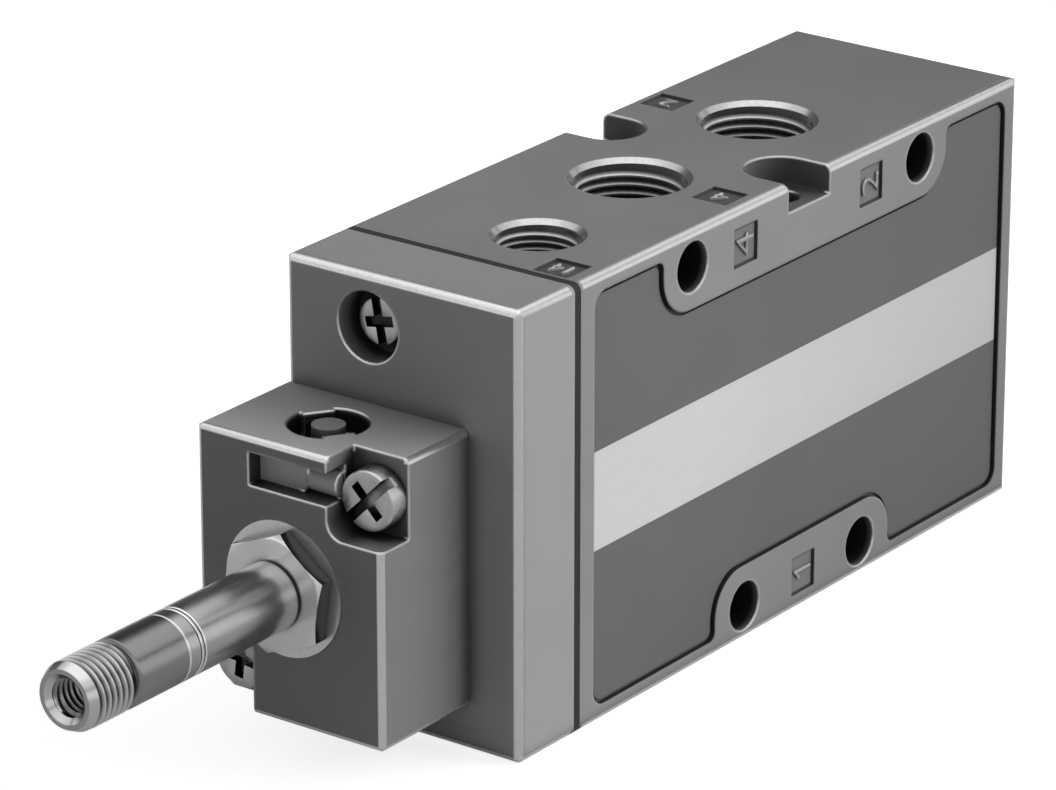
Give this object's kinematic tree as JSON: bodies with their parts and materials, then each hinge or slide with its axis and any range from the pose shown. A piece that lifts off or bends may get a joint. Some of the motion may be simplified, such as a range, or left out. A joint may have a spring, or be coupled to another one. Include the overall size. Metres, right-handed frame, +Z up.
{
  "type": "pneumatic solenoid valve",
  "caption": "Pneumatic spool valve with threaded ports on top and underneath, an end cap and a pilot valve with an armature tube for a plug-on coil.",
  "frame": {"origin": "centre of the body's underside, midway between the two upright bolt holes", "axes": "+X along the spool towards the spring end, +Y across away from the labelled side, +Z up to the ports"},
  "size_m": [0.1526, 0.032, 0.0533],
  "materials": {
    "grey_casting": "painted die casting, satin",
    "label_foil": "printed foil, satin",
    "seal_rubber": "matt",
    "zinc_steel": "zinc plated",
    "bright_steel": "fine turned",
    "copper": "bright",
    "brass": "turned",
    "black_plastic": "moulded",
    "button_metal": "turned",
    "spring_steel": "drawn wire",
    "anodised_aluminium": "anodised",
    "spacer_plastic": "moulded"
  },
  "bodies": {
    "valve": {"valve_body": "grey_casting", "side_label": "label_foil", "cap_gasket": "seal_rubber", "end_cap": "grey_casting", "cap_screws": "zinc_steel", "pilot_housing": "grey_casting", "pilot_gasket": "seal_rubber", "pilot_screws": "zinc_steel", "armature_tube": "bright_steel", "tube_washer": "bright_steel", "tube_o_ring": "seal_rubber", "fixed_core": "bright_steel", "shading_ring": "copper", "seat_nozzle": "brass", "override_bush": "black_plastic", "override_spring": "spring_steel", "armature_spring": "spring_steel", "front_spacer": "spacer_plastic", "rear_bushing": "spacer_plastic", "return_spring": "spring_steel", "end_plug": "anodised_aluminium", "plug_o_ring": "seal_rubber", "retaining_ring": "spring_steel", "spool_seal_1": "seal_rubber", "spool_seal_2": "seal_rubber", "spool_seal_3": "seal_rubber", "spool_seal_4": "seal_rubber", "spool_seal_5": "seal_rubber", "spool_seal_6": "seal_rubber", "cage_1": "spacer_plastic", "cage_2": "spacer_plastic", "cage_3": "spacer_plastic", "cage_4": "spacer_plastic", "cage_5": "spacer_plastic"},
    "spool": {"spool": "anodised_aluminium"},
    "pilot_piston": {"pilot_piston": "black_plastic", "piston_seal": "seal_rubber"},
    "armature": {"armature": "bright_steel", "armature_seat_seal": "seal_rubber", "armature_exhaust_seal": "seal_rubber"},
    "override": {"override_button": "button_metal", "override_o_ring": "seal_rubber"}
  },
  "joints": [
    {"name": "spool_slide", "type": "slide", "parent": "valve", "child": "spool", "axis": [1, 0, 0], "range_m": [0, 0.004], "stiffness_N_per_m": 800, "springref_m": -0.006, "deforming": ["return_spring"]},
    {"name": "pilot_piston_slide", "type": "slide", "parent": "valve", "child": "pilot_piston", "axis": [1, 0, 0], "range_m": [0, 0.004]},
    {"name": "armature_lift", "type": "slide", "parent": "valve", "child": "armature", "axis": [-1, 0, 0], "range_m": [0, 0.0008], "stiffness_N_per_m": 500, "springref_m": -0.002, "deforming": ["armature_spring"]},
    {"name": "override_press", "type": "slide", "parent": "valve", "child": "override", "axis": [0, 0, -1], "range_m": [0, 0.0014], "stiffness_N_per_m": 400, "springref_m": -0.001, "deforming": ["override_spring"]}
  ],
  "couplings": [
    {"joint": "pilot_piston_slide", "follows": "spool_slide", "ratio": 1}
  ]
}
